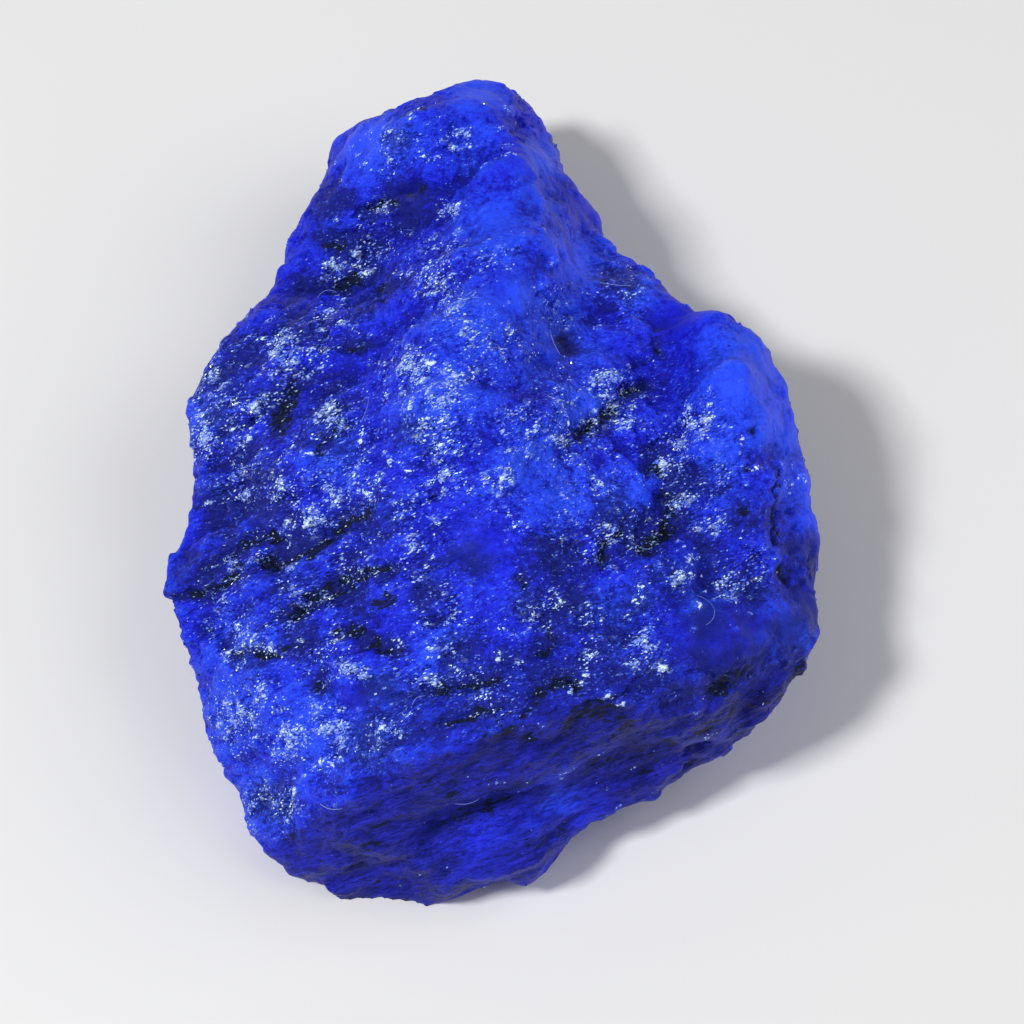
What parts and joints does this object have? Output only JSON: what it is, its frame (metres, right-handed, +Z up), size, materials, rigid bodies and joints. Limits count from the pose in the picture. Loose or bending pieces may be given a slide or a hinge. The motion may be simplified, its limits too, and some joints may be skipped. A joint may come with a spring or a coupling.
{
  "type": "rough sapphire",
  "caption": "Natural lump of rough blue corundum with a narrow head, a raised ridge, a side shoulder and a steep striated front, lying on its flattest side.",
  "frame": {"origin": "centre of the bounding box, on the floor under the stone", "axes": "+Z up from the flat resting side, +Y towards the narrow head, -Y out of the steep broken front, +X towards the shoulder"},
  "size_m": [0.0492, 0.0698, 0.026],
  "materials": {
    "sapphire": "rough sugary broken crystal with a glassy sparkle"
  },
  "bodies": {
    "root": {"sapphire_stone": "sapphire"}
  },
  "joints": []
}
